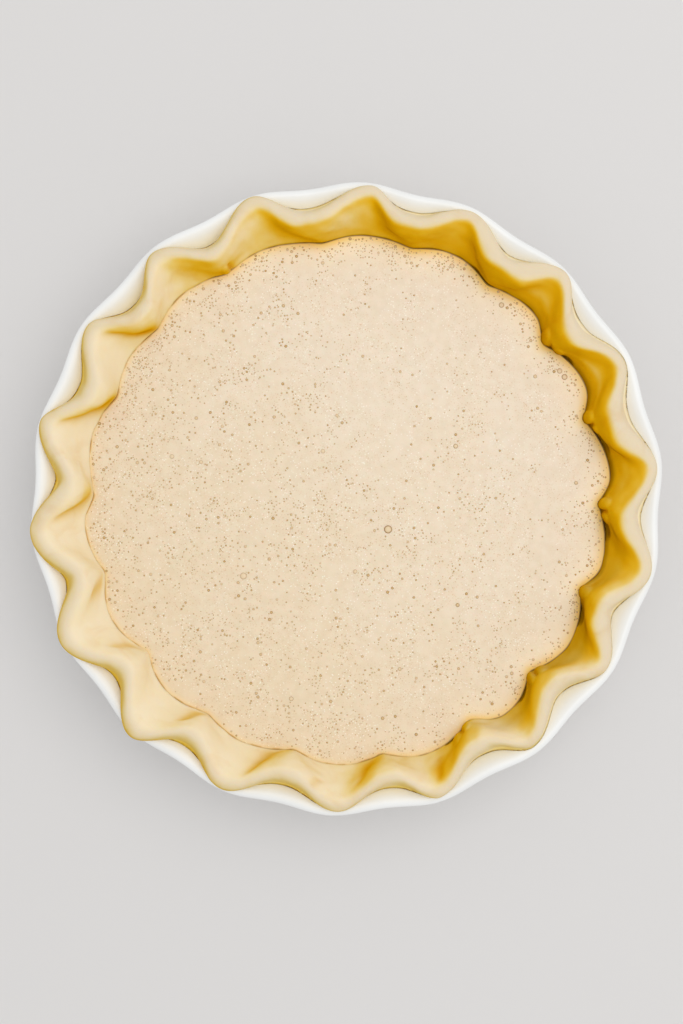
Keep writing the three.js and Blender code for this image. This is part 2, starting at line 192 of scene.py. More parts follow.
# Custard
# The bubbles that stand out, as (x, y, radius), and then the largest of the rest, by a draw
RING_BUBBLES = [
    (18.6, -13.6, 1.8),
    (-46.3, -34.5, 1.5),
    (97.8, 54.8, 1.3),
    (95.6, 57.5, 1.2),
    (69.5, 87.1, 1.2),
    (47.3, 104.6, 1.1),
    (-78.4, 19.1, 1.0),
    (-65.4, 16.6, 0.9),
]
LARGE_BUBBLES = 34  # in all
LARGE_RADIUS = (0.7, 1.1)  # of the drawn ones
BUBBLE_FIELD = 108  # no large bubble is drawn further out than this
MEDIUM_BUBBLES = 620
MEDIUM_RADIUS = (0.42, 0.72)
SMALL_BUBBLES = 3500  # a third of them alone, the others in clusters
SMALL_RADIUS = (0.24, 0.45)
CLUSTER_SIZE = (3, 12)  # bubbles in a cluster, from the first to below the second
CLUSTER_SPREAD = 1.9  # how far they lie from its middle, as a standard deviation
BUBBLE_HEIGHT = 0.42  # height of a dome as a share of its radius
BUBBLE_DEPTH = 0.5  # the same for the part that stands in the custard
BUBBLE_SEED = 7

# Camera: the photograph looks straight down
CAMERA_X = -2.3
CAMERA_Y = -5.8
CAMERA_LENS = 50
CAMERA_SENSOR = 36
PICTURE_HEIGHT = 1024  # pixels
LIP_PIXEL = 0.44  # mm on the lip's plane for each pixel

# Window: the clock angle its light comes from, and its height in degrees above the table; the
# painted light and shade on the pastry and custard follow it. The lamp stands higher, so that the
# pastry hardly shades the custard.
WINDOW_ANGLE = 64
WINDOW_HEIGHT = 50
LAMP_HEIGHT = 68
LAMP_DISTANCE = 2.0  # m
LAMP_SIZE = (2.2, 1.8)  # m
LAMP_WATTS = 14
ROOM_STRENGTH = 0.8  # of the even light from all round

STAGE_SIZE = 6  # m, of the floor it stands on


# ---------------------------------------------------------------- shared geometry
def clock_points(angle, radius, z):
    """Points at clock angles (degrees) and radii, as (..., 3)."""
    turn = np.radians(angle)
    return np.stack(np.broadcast_arrays(radius * np.sin(turn), radius * np.cos(turn), z), axis=-1)


def clock_angle(points):
    return np.degrees(np.arctan2(points[..., 0], points[..., 1]))


def from_middle(points):
    return np.hypot(points[..., 0], points[..., 1])


def lerp(a, b, share):
    return a + (b - a) * share


def smoothstep(x, low, high):
    t = np.clip((x - low) / (high - low), 0, 1)
    return t * t * (3 - 2 * t)


def near(value, middle, width):
    """1 where value is at the middle, falling to nothing a few widths away."""
    return np.exp(-((value - middle) / width) ** 2)


def angle_apart(a, b):
    """How far clock angle a is clockwise of b, from -180 to 180."""
    return (a - b + 180) % 360 - 180


def near_angle(angle, middle, width):
    return near(angle_apart(angle, middle), 0, width)


def on_side(angle, middle):
    """1 at clock angle middle, falling to -1 opposite it."""
    return np.cos(np.radians(angle - middle))


def catmull_rom(rows, at):
    """A smooth curve through the rows, read at row numbers that needn't be whole."""
    padded = np.vstack([2 * rows[0] - rows[1], rows, 2 * rows[-1] - rows[-2]])
    i = np.clip(np.floor(at).astype(int), 0, len(rows) - 2)
    t = (at - i)[:, None]
    p0, p1, p2, p3 = (padded[i + k] for k in range(4))
    return 0.5 * (2 * p1 + (p2 - p0) * t + (2 * p0 - 5 * p1 + 4 * p2 - p3) * t**2
                  + (3 * p1 - p0 - 3 * p2 + p3) * t**3)


def bezier(a, b, c, count):
    """Points on a quadratic curve, without its first point."""
    t = np.linspace(0, 1, count + 1)[1:, None]
    return (1 - t) ** 2 * a + 2 * t * (1 - t) * b + t**2 * c


def ring_normals(rings):
    """Outward normals of a stack of rings that runs up the outside and in over the top."""
    along = np.gradient(rings, axis=0)
    around = (np.roll(rings, -1, axis=1) - np.roll(rings, 1, axis=1)) / 2
    normals = np.cross(along, around)
    return normals / np.maximum(np.linalg.norm(normals, axis=-1, keepdims=True), 1e-9)


def soften(field, rounds):
    """A field of (ring, step) values, blurred along and across the rings."""
    for _ in range(rounds):
        field = (np.roll(field, 1, axis=1) + 2 * field + np.roll(field, -1, axis=1)) / 4
        padded = np.pad(field, ((1, 1), (0, 0)), mode="edge")
        field = (padded[:-2] + 2 * field + padded[2:]) / 4
    return field


def closed_faces(rings, steps):
    """Quads between each ring and the next, and a fan that closes each end: the first point after
    the rings is the middle of the fan in the first ring, and the second of that in the last."""
    first = np.arange(steps)
    starts = np.arange(rings - 1)[:, None] * steps
    here = (starts + first).ravel()
    there = (starts + np.roll(first, -1)).ravel()
    faces = np.stack([here, here + steps, there + steps, there], axis=1).tolist()
    middle = rings * steps
    last = middle - steps + first
    faces += [[middle, a, b] for a, b in zip(first, np.roll(first, -1))]
    faces += [[middle + 1, b, a] for a, b in zip(last, np.roll(last, -1))]
    return faces


def perlin(points, size, seed):
    """Smooth noise from -1 to 1 at points (n, 3), with lumps of about that size in mm."""
    shift = Vector((seed * 17.3, seed * 5.1, seed * 9.7))
    return np.array([noise.noise(Vector(p) / size + shift) for p in points])


def mesh_object(name, points, faces, material, attributes):
    """A smooth mesh object in metres."""
    mesh = bpy.data.meshes.new(name)
    mesh.from_pydata((points * MM).tolist(), [], [tuple(face) for face in faces])
    mesh.polygons.foreach_set("use_smooth", [True] * len(mesh.polygons))
    for key, values in attributes.items():
        layer = mesh.attributes.new(key, "FLOAT", "POINT")
        layer.data.foreach_set("value", np.asarray(values, np.float32).ravel())
    mesh.materials.append(material)
    mesh.update()
    piece = bpy.data.objects.new(name, mesh)
    bpy.context.scene.collection.objects.link(piece)
    return piece


def closed_stack(name, rings, first_z, last_z, material, attributes=None):
    """A closed body from rings. A point on the axis closes each end, at the heights given."""
    points = np.vstack([rings.reshape(-1, 3), [(0, 0, first_z)], [(0, 0, last_z)]])
    looks = {key: np.append(values.ravel(), [0, 0]) for key, values in (attributes or {}).items()}
    return mesh_object(name, points, closed_faces(*rings.shape[:2]), material, looks)


def window_direction(height):
    up = math.radians(height)
    return clock_points(WINDOW_ANGLE, math.cos(up), math.sin(up))


# The direction that the dough's painted light and shade follow
WINDOW = window_direction(WINDOW_HEIGHT)


# ---------------------------------------------------------------- materials
MIX_SHARE, MIX_A, MIX_B = 0, 6, 7  # a colour mix node's sockets
MIX_RESULT = 2


class Nodes:
    """Short names for building a material's nodes. Sizes are in mm."""

    def __init__(self, name):
        self.material = bpy.data.materials.new(name)
        self.material.use_nodes = True
        self.tree = self.material.node_tree
        self.shader = self.tree.nodes["Principled BSDF"]
        self.place = self.tree.nodes.new("ShaderNodeTexCoord").outputs["Object"]

    def link(self, source, target):
        self.tree.links.new(source, target)

    def set(self, **values):
        for key, value in values.items():
            self.shader.inputs[key.replace("_", " ")].default_value = value

    def base_colour(self, colour):
        self.link(colour, self.shader.inputs["Base Color"])

    def attribute(self, name):
        node = self.tree.nodes.new("ShaderNodeAttribute")
        node.attribute_name = name
        return node.outputs["Fac"]

    def noise(self, size, detail=2.0, distortion=0.0):
        node = self.tree.nodes.new("ShaderNodeTexNoise")
        node.inputs["Scale"].default_value = 1 / (size * MM)
        node.inputs["Detail"].default_value = detail
        node.inputs["Distortion"].default_value = distortion
        self.link(self.place, node.inputs["Vector"])
        return node.outputs["Fac"]

    def patches(self, strength, size, **kind):
        """Noise from half of strength below 0 to half of it above."""
        return self.times(self.add(self.noise(size, **kind), -0.5), strength)

    def dots(self, apart, radius):
        """1 at random points about that far apart, falling to 0 at radius, a share of apart."""
        node = self.tree.nodes.new("ShaderNodeTexVoronoi")
        node.inputs["Scale"].default_value = 1 / (apart * MM)
        self.link(self.place, node.inputs["Vector"])
        return self.steps(node.outputs["Distance"], radius, radius / 3)

    def steps(self, value, low, high):
        """value spread smoothly from low..high to 0..1."""
        node = self.tree.nodes.new("ShaderNodeMapRange")
        node.interpolation_type = "SMOOTHSTEP"
        node.inputs["From Min"].default_value = low
        node.inputs["From Max"].default_value = high
        self.link(value, node.inputs["Value"])
        return node.outputs["Result"]

    def maths(self, operation, a, b):
        node = self.tree.nodes.new("ShaderNodeMath")
        node.operation = operation
        for socket, value in zip(node.inputs, (a, b)):
            if isinstance(value, (int, float)):
                socket.default_value = value
            else:
                self.link(value, socket)
        return node.outputs["Value"]

    def add(self, a, b):
        return self.maths("ADD", a, b)

    def times(self, a, b):
        return self.maths("MULTIPLY", a, b)

    def ramp(self, value, tones):
        """The tones, a list of (value, colour) in order, read at value."""
        low, high = tones[0][0], tones[-1][0]
        spread = self.tree.nodes.new("ShaderNodeMapRange")
        spread.inputs["From Min"].default_value = low
        spread.inputs["From Max"].default_value = high
        self.link(value, spread.inputs["Value"])
        node = self.tree.nodes.new("ShaderNodeValToRGB")
        elements = node.color_ramp.elements
        while len(elements) < len(tones):
            elements.new(0.5)
        for element, (at, colour) in zip(elements, tones):
            element.position = (at - low) / (high - low)
            element.color = (*colour, 1)
        self.link(spread.outputs["Result"], node.inputs["Fac"])
        return node.outputs["Color"]

    def mix(self, share, a, b, blend="MIX"):
        """Colours a and b, each (r, g, b) or a socket, mixed by share."""
        node = self.tree.nodes.new("ShaderNodeMix")
        node.data_type = "RGBA"
        node.blend_type = blend
        for index, value in ((MIX_SHARE, share), (MIX_A, a), (MIX_B, b)):
            socket = node.inputs[index]
            if isinstance(value, tuple):
                socket.default_value = (*value, 1)
            else:
                self.link(value, socket)
        return node.outputs[MIX_RESULT]

    def bump(self, height, strength, depth):
        node = self.tree.nodes.new("ShaderNodeBump")
        node.inputs["Strength"].default_value = strength
        node.inputs["Distance"].default_value = depth * MM
        self.link(height, node.inputs["Height"])
        self.link(node.outputs["Normal"], self.shader.inputs["Normal"])


def srgb(red, green, blue):
    """A colour as seen, 0 to 255, as a shader's linear colour."""
    def linear(value):
        value /= 255
        return value / 12.92 if value <= 0.04045 else ((value + 0.055) / 1.055) ** 2.4
    return linear(red), linear(green), linear(blue)


def glaze_material():
    n = Nodes("white_glaze")
    clean = srgb(241, 241, 239)
    pooled = srgb(236, 236, 234)
    n.base_colour(n.mix(n.steps(n.noise(size=30), low=0.35, high=0.65), clean, pooled))
    n.set(Roughness=0.24, IOR=1.5)
    n.bump(n.noise(size=7, detail=1), strength=0.1, depth=0.3)
    return n.material


# The raw dough's colour by how squarely it faces the window, from 1 to -1, is painted light and
# shade: lit cream, then butter, and a deep golden yellow of painted shade where it is turned
# away.
DOUGH_AND_SHADE_TONES = [
    (-0.8, srgb(170, 119, 3)),
    (-0.6, srgb(206, 148, 4)),
    (-0.4, srgb(214, 158, 6)),
    (-0.2, srgb(226, 170, 12)),
    (0.0, srgb(230, 180, 36)),
    (0.2, srgb(233, 190, 70)),
    (0.4, srgb(235, 203, 112)),
    (0.6, srgb(240, 217, 158)),
    (0.8, srgb(243, 225, 186)),
    (1.0, srgb(242, 226, 194)),
]


def pastry_material():
    n = Nodes("raw_pastry")
    # Painted light and shade: the tone is read from how squarely the dough faces the window.
    facing = n.add(n.attribute("facing"), n.patches(strength=0.22, size=7, detail=3))
    tone = n.ramp(facing, DOUGH_AND_SHADE_TONES)
    butter = srgb(236, 205, 140)
    streaky = n.steps(n.noise(size=14, detail=3, distortion=0.8), low=0.52, high=0.75)
    tone = n.mix(n.times(streaky, 0.22), tone, butter, "MULTIPLY")
    # Painted shade: golden in the creases, and dark along the custard, on the window's side and
    # in the hollows under the folds, in part a wet look; the outside a little darker and cooler.
    for name, tint in (
        ("crease_shade", srgb(240, 213, 126)),
        ("shade_and_wet", srgb(126, 110, 60)),
        ("outside", srgb(239, 238, 243)),
    ):
        tone = n.mix(n.attribute(name), tone, tint, "MULTIPLY")
    n.base_colour(tone)
    n.set(Roughness=0.46, IOR=1.42, Specular_IOR_Level=0, Subsurface_Weight=0.12,
          Subsurface_Scale=0.0025, Subsurface_Radius=(1.0, 0.6, 0.25))
    grain = n.add(n.noise(size=1.1, detail=3), n.times(n.noise(size=4, detail=2), 2))
    n.bump(grain, strength=0.2, depth=0.25)
    return n.material


def custard_material():
    """Tan and paler areas under a fine mottle, with dark foam and pale froth too fine for
    geometry, and painted light and shade beside the pastry: light that it throws on the custard,
    a golden glow, and a line along it that is partly wet and partly painted shadow."""
    n = Nodes("custard")
    tan = srgb(233, 213, 182)
    # Paler and whiter towards clock angle 42 and the edge, and in patches
    pale_tone = srgb(236, 220, 198)
    paleness = n.add(n.attribute("pale_tone"), n.patches(1.1, size=40, detail=4, distortion=0.4))
    colour = n.mix(n.steps(paleness, low=-0.9, high=0.9), tan, pale_tone)
    mottle = n.steps(n.noise(size=4, detail=4), low=0.32, high=0.68)
    colour = n.mix(n.times(mottle, 0.5), colour, srgb(245, 241, 234), "MULTIPLY")
    foamy = n.steps(n.noise(size=16, detail=3), low=0.3, high=0.62)
    fine_foam = n.times(n.dots(apart=0.95, radius=0.32), 0.7)
    foam = n.times(n.add(fine_foam, n.dots(apart=1.7, radius=0.22)), foamy)
    colour = n.mix(n.times(foam, 0.6), colour, srgb(200, 154, 92))
    frothy = n.steps(n.noise(size=9, detail=2), low=0.36, high=0.6)
    froth = n.times(n.dots(apart=1.25, radius=0.3), frothy)
    colour = n.mix(n.times(froth, 0.9), colour, srgb(250, 241, 226))
    # Painted shadow along the pastry, partly a wet line: dark brown on the window's side, golden
    # brown opposite
    line = n.mix(n.attribute("away"), srgb(200, 152, 72), srgb(110, 70, 6))
    for name, tone in (
        ("lit_wall", srgb(248, 230, 199)),
        ("painted_wall_glow", srgb(244, 196, 60)),
        ("wet_and_shade_line", line),
    ):
        colour = n.mix(n.attribute(name), colour, tone)
    n.base_colour(colour)
    n.set(Roughness=0.36, IOR=1.37, Subsurface_Weight=0.1, Subsurface_Scale=0.002)
    n.bump(n.noise(size=1.2, detail=3), strength=0.1, depth=0.12)
    return n.material


def bubble_material():
    """Film over air, with painted shade and light: dark amber at the rim, where it is steep, and
    paler on the crown of the bubbles large enough to be seen through, standing in for light
    bending through the clear film."""
    n = Nodes("bubble_film")
    rim = srgb(150, 106, 46)
    crown = srgb(200, 164, 106)
    clear = srgb(228, 204, 166)
    pale = srgb(234, 211, 178)
    # Painted shade at the steep rim, painted see-through light on the crown
    film = n.mix(n.attribute("crown"), rim, n.mix(n.attribute("clear"), crown, clear))
    n.base_colour(n.mix(n.attribute("faint"), film, pale))
    n.set(Roughness=0.14, IOR=1.37)
    return n.material


# ---------------------------------------------------------------- dish
DISH_STEPS = 720
CURVE_STEPS = 10  # of each curve of the inside
LIP_STEPS = 14
WALL_STEPS = 12
UNDER_STEPS = 8  # of each long curve of the outside
FOOT_STEPS = 4


def radial(degrees, length):
    return length * np.array([math.cos(math.radians(degrees)), math.sin(math.radians(degrees))])


def meeting(p, u, q, v):
    """Where a line from p along u meets a line from q along v."""
    w = q - p
    return p + u * (w[0] * v[1] - w[1] * v[0]) / (u[0] * v[1] - u[1] * v[0])


FLOOR_CORNER = np.array([FLOOR_RADIUS, FLOOR_THICKNESS], float)
WALL_DIRECTION = (SHOULDER - FLOOR_CORNER) / np.linalg.norm(SHOULDER - FLOOR_CORNER)
WALL_OUT = WALL_THICKNESS * np.array([WALL_DIRECTION[1], -WALL_DIRECTION[0]])
LIP_CENTRE = np.array([RIM_RADIUS - LIP_RADIUS, DISH_HEIGHT - LIP_RADIUS])
LIP_START = LIP_CENTRE + radial(90 + LIP_SLOPE, LIP_RADIUS)
CORNER_END = FLOOR_CORNER + FLOOR_CURVE * WALL_DIRECTION
CORNER_START = FLOOR_CORNER - [FLOOR_CURVE, 0]
FLARE_CORNER = meeting(SHOULDER, WALL_DIRECTION, LIP_START, radial(LIP_SLOPE, 1))
INSIDE = np.vstack([
    [CORNER_START],
    bezier(CORNER_START, FLOOR_CORNER, CORNER_END, CURVE_STEPS),
    [SHOULDER],
    bezier(SHOULDER, FLARE_CORNER, LIP_START, CURVE_STEPS),
])
LIP_TOP = np.array([LIP_CENTRE[0], DISH_HEIGHT])


def scallop(radius, angle):
    """How far the ruffles move a point of the dish in or out."""
    grown = smoothstep(radius, SCALLOP_START, RIM_RADIUS - LIP_RADIUS)
    return SCALLOP_DEPTH * grown * np.cos(np.radians(SCALLOPS * (angle - SCALLOP_ANGLE)))


def dish_outline():
    """The dish's section, from the recess under its foot out, up and in to its floor."""
    recess_edge = np.array([FOOT_INNER - FOOT_RECESS - 1.5, FOOT_RECESS])
    recess_corner = np.array([FOOT_INNER - 1.0, FOOT_RECESS])
    ring_start = np.array([FOOT_INNER + 0.4, 0.0])
    foot_corner = np.array([FOOT_OUTER, 0.0])
    ring_end = foot_corner - [0.8, 0]
    foot_side = foot_corner + [0.9, 0.4]
    under_wall = np.array([FOOT_OUTER + 6.0, 2.4])
    wall_start = CORNER_END + WALL_OUT
    wall_end = SHOULDER + WALL_OUT
    under_flare = wall_end + 6.2 * WALL_DIRECTION
    under_lip = LIP_CENTRE + radial(LIP_END, LIP_RADIUS + 1.2)
    turns = np.linspace(LIP_END + 12, 90 + LIP_SLOPE - 8, LIP_STEPS)
    return np.vstack([
        [recess_edge],
        bezier(recess_edge, recess_corner, ring_start, FOOT_STEPS),
        [ring_end],
        bezier(ring_end, foot_corner, foot_side, FOOT_STEPS),
        bezier(foot_side, under_wall, wall_start, UNDER_STEPS),
        np.linspace(wall_start, wall_end, WALL_STEPS)[1:],
        bezier(wall_end, under_flare, under_lip, UNDER_STEPS),
        [LIP_CENTRE + radial(turn, LIP_RADIUS) for turn in turns],
        INSIDE[::-1],
    ])


def make_dish(material):
    outline = dish_outline()
    angle = 360 * np.arange(DISH_STEPS) / DISH_STEPS
    radius = outline[:, :1] + scallop(outline[:, :1], angle)
    rings = clock_points(angle, radius, outline[:, 1:])
    return closed_stack("glazed_dish", rings, FOOT_RECESS, FLOOR_THICKNESS, material)


# ---------------------------------------------------------------- pastry
STEPS_PER_FLUTE = 80
EDGE_ROWS = 80  # rings of the edge that stands above the custard
LINING_LIFT = TOUCHING_GAP + PASTRY_THICKNESS  # of the case's inside off the dish
BELOW_EDGE = 5.0  # how far under the custard's edge the case's next ring lies
BEHIND_EDGE = SHOULDER[0] - 1.5  # radius of the dish's inside behind that ring


def round_wave(share, power):
    """share ** power, but rounded where share is near 0, so that no ridge is a knife edge."""
    soft = 0.03
    low = soft**power
    return ((share + soft) ** power - low) / ((1 + soft) ** power - low)


def flute_steps():
    """The steps round the pie: clock angle, share (1 at a crest, 0 at a pinch), how narrow the
    flute is there inside and outside, and each step's crest and pinch rows of FLUTES."""
    t = np.arange(STEPS_PER_FLUTE) / STEPS_PER_FLUTE
    after = np.roll(FLUTES, -1, axis=0)
    after_crest = after[:, CREST] + np.where(after[:, CREST] < FLUTES[:, CREST], 360, 0)
    to_pinch = lerp(FLUTES[:, CREST, None], FLUTES[:, PINCH, None], t * 2)
    to_crest = lerp(FLUTES[:, PINCH, None], after_crest[:, None], t * 2 - 1)
    falling = t < 0.5
    angle = np.where(falling, to_pinch, to_crest).ravel()
    share = np.tile(0.5 + 0.5 * np.cos(2 * np.pi * t), len(FLUTES))
    inside = np.where(falling, FLUTES[:, FALL_IN, None], after[:, RISE_IN, None]).ravel()
    outside = np.where(falling, FLUTES[:, FALL_OUT, None], after[:, RISE_OUT, None]).ravel()
    crest = np.where(falling[None, :, None], FLUTES[:, None, :], after[:, None, :])
    pinch = np.repeat(FLUTES, STEPS_PER_FLUTE, axis=0)
    return angle, share, inside, outside, crest.reshape(pinch.shape), pinch


ANGLE, SHARE, FOLD_IN, FOLD_OUT, CREST_ROW, PINCH_ROW = flute_steps()


def edge_rings(rows):
    """Rings of the pastry's edge at the given row numbers of EDGE_SECTION."""
    section = catmull_rom(EDGE_SECTION, rows)[:, :, None]
    width, inner, outer = section[:, WIDTH], section[:, INNER], section[:, OUTER]
    wave = round_wave(SHARE, width + inner * (FOLD_IN - width) + outer * (FOLD_OUT - width))
    at_crest = lerp(CREST_ROW[:, SCOOP], CREST_ROW[:, REACH], section[:, AT_CREST])
    at_pinch = lerp(PINCH_ROW[:, NOSE], PINCH_ROW[:, BACK], section[:, AT_PINCH])
    height = lerp(section[:, PINCH_HEIGHT], section[:, CREST_HEIGHT], wave)
    low = 1 - np.clip(height / LEAN_TOP, 0, 1)
    angle = ANGLE + PINCH_ROW[:, LEAN] * (1 - SHARE) * low
    return clock_points(angle, lerp(at_pinch, at_crest, wave), CUSTARD_LEVEL + height)


def off_dish(radius, lift):
    """Points lifted off the dish's inside by lift, at unruffled radii (rings, steps)."""
    profile = np.vstack([[[0, FLOOR_THICKNESS]], INSIDE, [LIP_TOP]])
    i = np.clip(np.searchsorted(profile[:, 0], radius), 1, len(profile) - 1)
    start = profile[i - 1]
    along = profile[i] - start
    along /= np.linalg.norm(along, axis=-1, keepdims=True)
    on_z = start[..., 1] + (radius - start[..., 0]) * along[..., 1] / along[..., 0]
    lifted = radius + scallop(radius, ANGLE) - along[..., 1] * lift
    return clock_points(ANGLE, lifted, on_z + along[..., 0] * lift)


CUSTARD_EDGE = edge_rings(np.array([0.0]))[0]


def case_inside(inset):
    """Inside of the case under the custard's edge, from just under it down to the floor, or the
    same moved inwards by inset."""
    sheet = from_middle(off_dish(np.full((1, len(ANGLE)), BEHIND_EDGE), LINING_LIFT)[0])
    halfway = lerp(sheet, from_middle(CUSTARD_EDGE), 0.5)
    under = np.minimum(halfway, sheet) - inset
    just_under = clock_points(clock_angle(CUSTARD_EDGE), under, CUSTARD_LEVEL - BELOW_EDGE)
    radii = INSIDE[:CURVE_STEPS + 1:2, 0][::-1]
    lining = off_dish(np.repeat(radii[:, None], len(ANGLE), axis=1), LINING_LIFT + inset)
    return np.vstack([just_under[None], lining])


def case_outside():
    """Underside of the case, from the middle of the dish's floor out over its lip."""
    wave = round_wave(SHARE, FOLD_OUT)
    foot = lerp(PINCH_ROW[:, BACK], EDGE_FOOT_AT_CREST, wave)
    flare = np.append(INSIDE[CURVE_STEPS + 1:, 0], EDGE_FOOT_AT_CREST)
    share = (flare - SHOULDER[0]) / (EDGE_FOOT_AT_CREST - SHOULDER[0])
    under_floor = np.repeat(INSIDE[:CURVE_STEPS + 1:2, :1], len(ANGLE), axis=1)
    under_flare = lerp(SHOULDER[0], foot, share[:, None])
    return np.vstack([off_dish(under_floor, TOUCHING_GAP), off_dish(under_flare, RESTING_GAP)])


def finger_relief(rings):
    """At points of the inside: how far the lumps stand out and the creases lie in, how golden the
    painted shade in the creases is, and how deep the hollows under the folds, which get painted
    shade."""
    angle = clock_angle(rings)
    height = rings[..., 2] - CUSTARD_LEVEL
    mm_per_degree = np.radians(from_middle(rings))
    relief = np.zeros(rings.shape[:2])
    crease_shade = np.zeros(rings.shape[:2])
    hollow = np.zeros(rings.shape[:2])
    for at, middle, half_width, half_height, out in FINGER_MARKS:
        across = angle_apart(angle, at) * mm_per_degree / half_width
        up = (height - middle) / half_height
        mark = np.clip(1 - across**2 - up**2, 0, 1) ** 0.7
        relief += out * mark
        if out < 0:
            hollow = np.maximum(hollow, mark)
    for start, low, wide, end, high, narrow, depth, gold in CREASES:
        share = (height - low) / (high - low)
        half_width = lerp(wide, narrow, np.clip(share, 0, 1))
        across = angle_apart(angle, lerp(start, end, share)) * mm_per_degree / half_width
        fade_in = smoothstep(share, -CREASE_FADE, CREASE_FADE)
        fade_out = smoothstep(share, 1 + CREASE_FADE, 1 - CREASE_FADE)
        crease = fade_in * fade_out * np.exp(-across**2)
        relief -= depth * crease
        # How golden the painted shade in each crease is
        crease_shade = np.maximum(crease_shade, gold * crease)
    return relief, crease_shade, hollow


def dough_facing(rings, inside):
    """How squarely the dough faces the window, from -1 to 1, which sets its painted light and
    shade: the inside is painted deeper on the window's side and paler opposite it, the outside
    paler all round."""
    facing = soften(ring_normals(rings) @ WINDOW, 3)
    angle = clock_angle(rings)
    height = rings[..., 2] - CUSTARD_LEVEL
    side = on_side(angle, WINDOW_ANGLE)
    as_inside = facing - 0.2 * side * smoothstep(facing, 0.95, 0.45)
    share = lerp(SHADING_AT_PINCH, 1, SHARE)
    for at, half_width, middle, half_height, paler in SHADINGS:
        spot = near_angle(angle, at, half_width) * near(height, middle, half_height)
        as_inside = as_inside + paler * share * spot
    as_outside = lerp(facing, 0.85, 0.56 + 0.1 * side)
    least_outside = 0.4 + 0.25 * side
    return lerp(np.maximum(as_outside, least_outside), as_inside, inside)


def dough_shade_and_wet(rings, facing, hollow):
    """How dark the inside is painted, from 0 to 1, mostly as painted shade and in part as wet
    dough: in a line along the custard, strong where the dough faces away from the window, low on
    the window's side, in the scoops next to that, and in the hollows under the folds."""
    angle = clock_angle(rings)
    height = rings[..., 2] - CUSTARD_LEVEL
    turned_away = smoothstep(facing, 0.3, -0.3)
    along_custard = 0.75 * smoothstep(height, 0.9, 0.1) * lerp(0.08, 1, turned_away)
    low_wall = 0.7 * near_angle(angle, 82, 42) * near(height, 0.6, 1.9)
    scoops = 0.3 * near_angle(angle, 124, 26) * smoothstep(height, 13, 7)
    in_hollow = 0.8 * smoothstep(hollow, 0.0, 0.9)
    return np.max([along_custard, low_wall, scoops, in_hollow], axis=0)


def make_pastry(material):
    underside = case_outside()
    rows = np.linspace(len(EDGE_SECTION) - 1, 0, EDGE_ROWS)
    rings = np.vstack([underside, edge_rings(rows), case_inside(0)])
    row_of = np.full(len(rings), -1.0)
    row_of[len(underside):len(underside) + EDGE_ROWS] = rows
    shown = (row_of >= 0)[:, None] * np.ones(rings.shape[1])
    shown[len(underside)] = 0
    inside = (smoothstep(row_of, RIDGE_ROW, INSIDE_ROW) * (row_of >= 0))[:, None]
    flat = rings.reshape(-1, 3)
    lumps = sum(height * perlin(flat, size, seed) for height, size, seed in LUMPS)
    fingers, crease_shade, hollow = finger_relief(rings)
    relief = shown * (lumps.reshape(shown.shape) + inside * fingers)
    rings = rings + ring_normals(rings) * relief[..., None]
    # How squarely each point faces the window, which sets the dough's painted light and shade
    facing = dough_facing(rings, inside)
    looks = {
        "facing": facing,
        "crease_shade": shown * inside * crease_shade,
        "shade_and_wet": shown * inside * dough_shade_and_wet(rings, facing, hollow),
        "outside": shown * (1 - inside),
    }
    return closed_stack("raw_pastry", rings, FLOOR_THICKNESS + TOUCHING_GAP,
                        FLOOR_THICKNESS + LINING_LIFT, material, looks)


# ---------------------------------------------------------------- custard
# How far in from the custard's edge each ring of its surface lies
INWARD = np.concatenate([
    [0, 0.25, 0.5, 0.8, 1.2, 1.8, 2.6, 3.6, 5, 6.5, 8.5],
    np.arange(11, 108, 2.5),
])[:, None]
ROUND_FROM = 60  # from this far in the rings are round
INTO_PASTRY = 0.1  # how far the surface reaches into the pastry, so that no gap shows
CLIMB_HEIGHT = 0.2  # how far the custard climbs the pastry
CLIMB_WIDTH = 0.5  # how far in it has mostly come down again


def custard_height(points):
    """Height of the custard's surface: level, but for a very slight swell in its open part."""
    swell = 0.12 * perlin(points * [1, 1, 0], 26, 5)
    return CUSTARD_LEVEL + swell * smoothstep(from_middle(points), 112, 104)


def custard_looks(rings):
    """The looks of the custard's surface: lit_wall, light that the pastry throws on it;
    painted_wall_glow, painted golden light and shade next to the pastry, strongest on the
    window's side; wet_and_shade_line, a line along the pastry, partly wet and partly painted
    shadow, dark brown on the window's side; away, 1 on the window's side, where the pastry faces
    away from the light, and 0 on the far side; and milky, paler and whiter towards clock angle 42
    and the edge, from about -0.75 to 0.75. The others are from 0 to 1."""
    angle = clock_angle(rings)
    away = smoothstep(on_side(angle, WINDOW_ANGLE), -0.7, 0.6)
    # Painted golden light and shade beside the pastry, strongest on the window's side
    glow = lerp(0.34, 0.85, away) * np.exp(-(INWARD / lerp(1.6, 3.2, away)) ** 1.9)
    uneven = 0.5 + 0.5 * perlin(CUSTARD_EDGE, 5, 6)
    # A line along the pastry, partly wet and partly painted shadow, strongest on the window's
    # side
    line_width = 0.5 + 0.5 * uneven
    along_wall = lerp(0.1 + 0.8 * smoothstep(uneven, 0.35, 0.6), 0.85, away)
    return {
        "lit_wall": lerp(0.08, 1, away**1.5) * near(INWARD, 0, 10),
        "painted_wall_glow": glow * lerp(1.1, 0.85, SHARE),
        "wet_and_shade_line": along_wall * smoothstep(INWARD / line_width, 1, 0.2),
        "away": away,
        "pale_tone": 0.75 * from_middle(rings) / 110 * on_side(angle, 42),
    }


